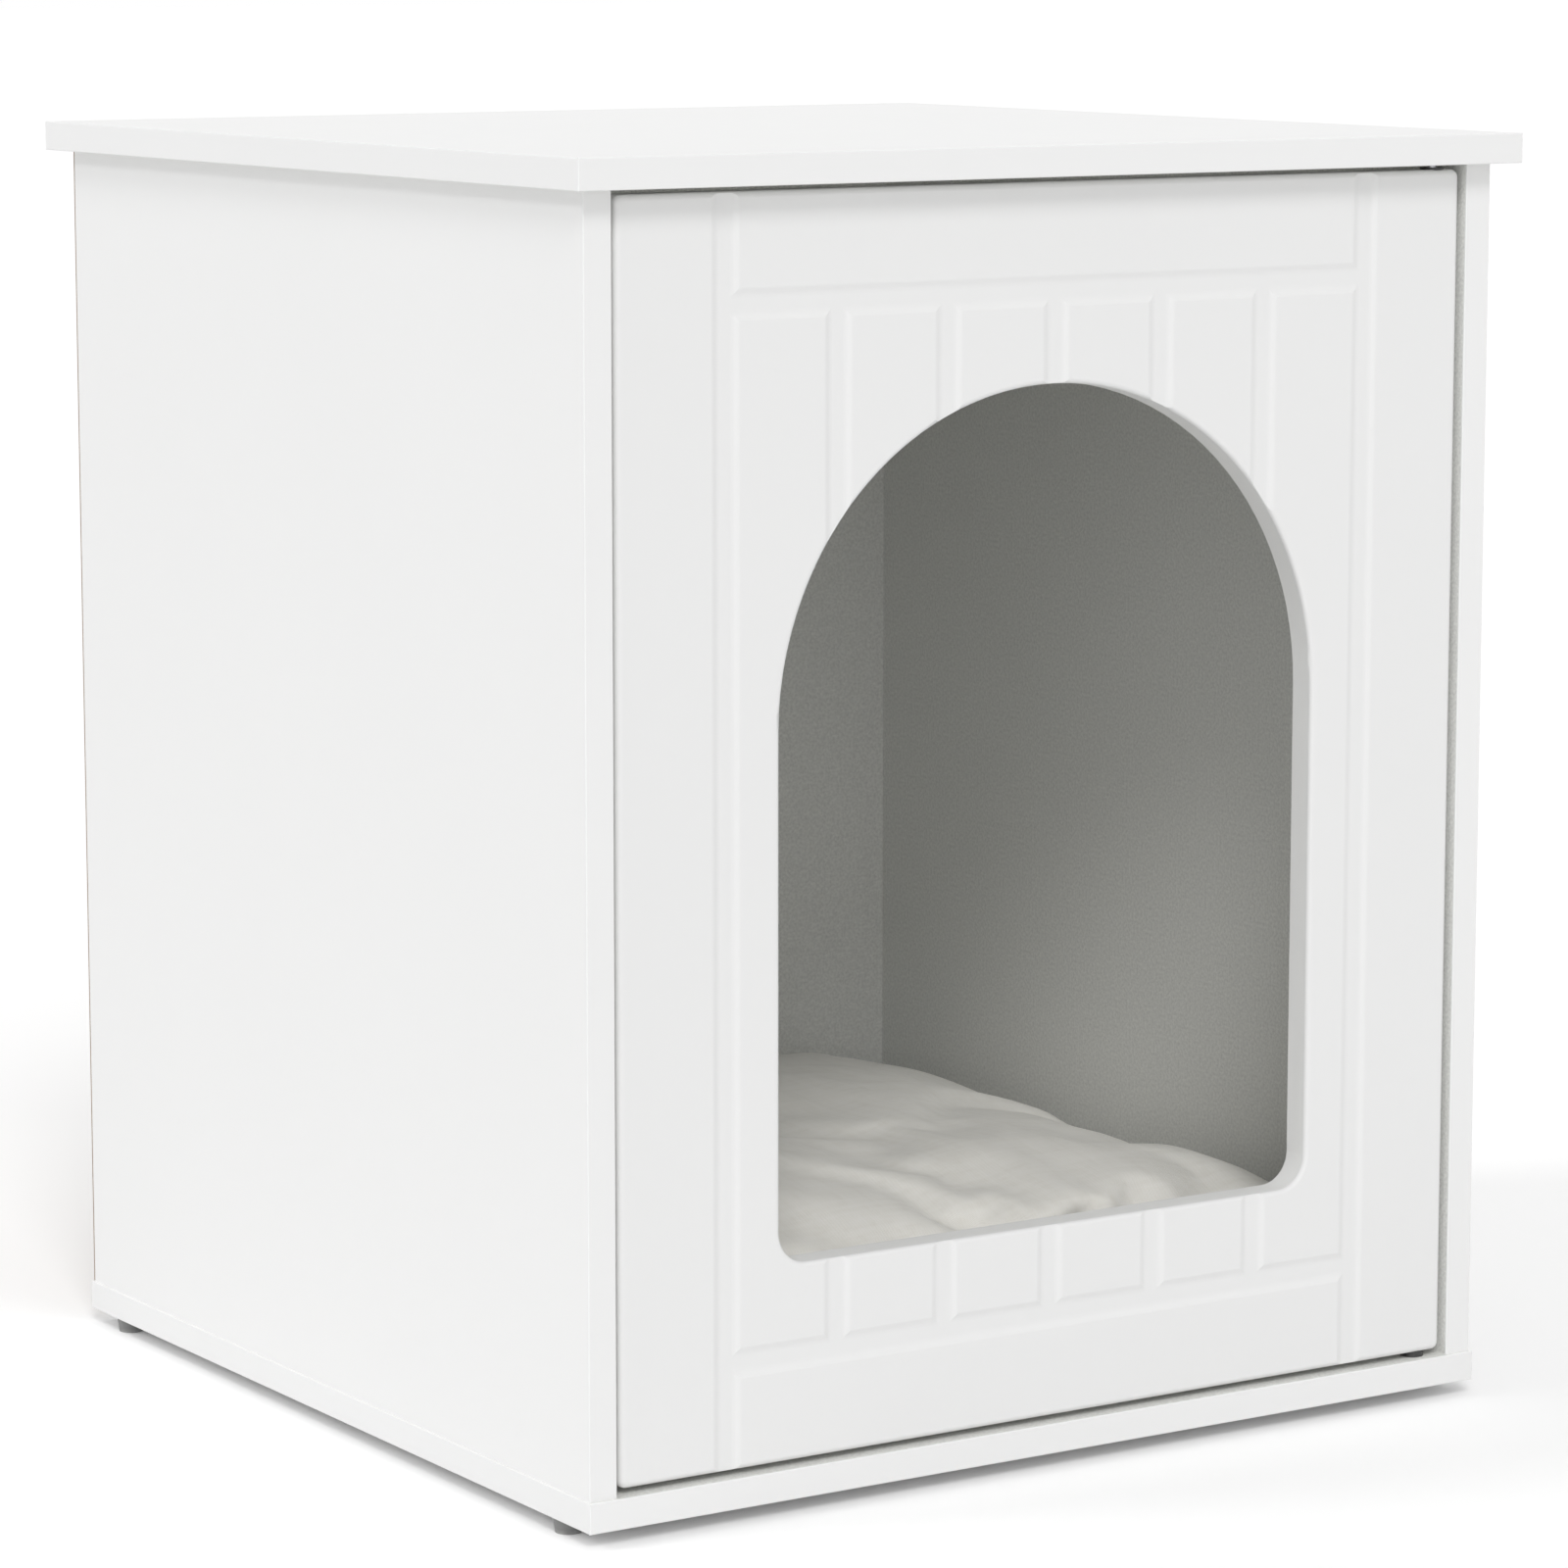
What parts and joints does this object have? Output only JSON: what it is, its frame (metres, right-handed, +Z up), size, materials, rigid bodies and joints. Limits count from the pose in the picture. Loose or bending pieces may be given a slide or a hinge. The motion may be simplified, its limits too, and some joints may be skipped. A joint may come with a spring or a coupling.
{
  "type": "cat house",
  "caption": "White board cabinet for a cat, with a grooved hinged door that has an arched doorway, a flat top, small glides and a loose cushion inside.",
  "frame": {"origin": "on the floor under the middle of the top panel", "axes": "+X to the right seen from the front, +Y to the back, +Z up; the door is at -Y"},
  "size_m": [0.55, 0.55, 0.65],
  "materials": {
    "white_board": "white faced chipboard, fine satin grain",
    "white_edging": "white edge strip, satin",
    "white_door": "white foil on fibreboard, matt",
    "hardboard": "white inside, brown on the back and edges",
    "zinc_steel": "bright zinc plated",
    "pivot_steel": "ground steel",
    "zinc_alloy": "die cast",
    "white_plastic": "moulded",
    "beech": "bare",
    "grey_plastic": "moulded",
    "nylon": "moulded",
    "magnet": "ferrite",
    "linen": "pale linen weave"
  },
  "bodies": {
    "cabinet": {"top_panel": "white_board", "bottom_panel": "white_board", "side_panel_left": "white_board", "side_panel_right": "white_board", "top_panel_edging": "white_edging", "bottom_panel_edging": "white_edging", "side_edging_left": "white_edging", "side_edging_right": "white_edging", "back_panel": "hardboard", "cam_bolts": "zinc_steel", "back_panel_nails": "zinc_steel", "glide_screws": "zinc_steel", "catch_screws": "zinc_steel", "cam_locks": "zinc_alloy", "cam_caps": "white_plastic", "catch_housing": "white_plastic", "wooden_dowels": "beech", "glide_front_left": "grey_plastic", "glide_front_right": "grey_plastic", "glide_rear_left": "grey_plastic", "glide_rear_right": "grey_plastic", "upper_panel_bush": "nylon", "lower_panel_bush": "nylon", "thrust_washer": "nylon", "catch_magnet": "magnet", "cushion": "linen"},
    "door": {"door_panel": "white_door", "upper_door_sleeve": "nylon", "lower_door_sleeve": "nylon", "upper_pivot_pin": "pivot_steel", "lower_pivot_pin": "pivot_steel", "strike_plate": "zinc_steel", "strike_screw": "zinc_steel"}
  },
  "joints": [
    {"name": "door_swing", "type": "hinge", "parent": "cabinet", "child": "door", "pos_m": [0.235, -0.2525, 0.329], "axis": [0, 0, 1], "range_deg": [0, 110]}
  ]
}
